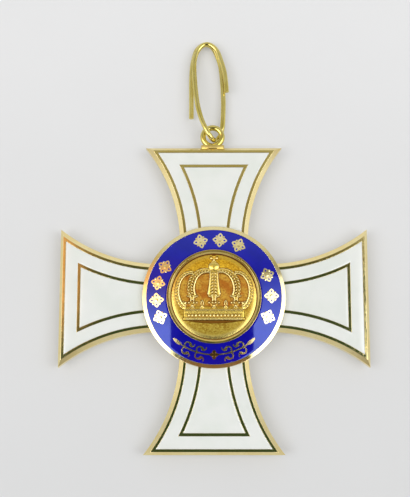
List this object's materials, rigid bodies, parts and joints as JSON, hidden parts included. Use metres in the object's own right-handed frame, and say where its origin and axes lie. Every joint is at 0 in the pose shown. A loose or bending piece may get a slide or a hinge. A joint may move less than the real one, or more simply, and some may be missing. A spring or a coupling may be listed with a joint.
{
  "type": "order cross",
  "caption": "Enamelled neck-badge cross with four hollow-sided arms, a round medallion with a raised crown, and a wire ribbon loop.",
  "frame": {"origin": "middle of the flat underside of the back medallion", "axes": "+Z out of the front face, +Y towards the eyelet and the ribbon loop, +X to the right seen from the front"},
  "size_m": [0.052, 0.0721, 0.0048],
  "materials": {
    "gold": "polished gilt",
    "satin_gold": "satin gilt, finely grained",
    "white_enamel": "glossy enamel",
    "blue_enamel": "glossy enamel"
  },
  "bodies": {
    "root": {"cross_frame": "gold", "front_medallion": "gold", "florets_left": "gold", "florets_top": "gold", "florets_right": "gold", "scroll_spray": "gold", "back_medallion": "gold", "back_disc": "gold", "ribbon_loop": "gold", "enamel_band_top": "white_enamel", "enamel_band_right": "white_enamel", "enamel_band_bottom": "white_enamel", "enamel_band_left": "white_enamel", "enamel_field_top": "white_enamel", "enamel_field_right": "white_enamel", "enamel_field_bottom": "white_enamel", "enamel_field_left": "white_enamel", "enamel_back_top": "white_enamel", "enamel_back_right": "white_enamel", "enamel_back_bottom": "white_enamel", "enamel_back_left": "white_enamel", "front_blue_ring": "blue_enamel", "back_blue_ring": "blue_enamel", "crown_disc": "satin_gold"}
  },
  "joints": []
}
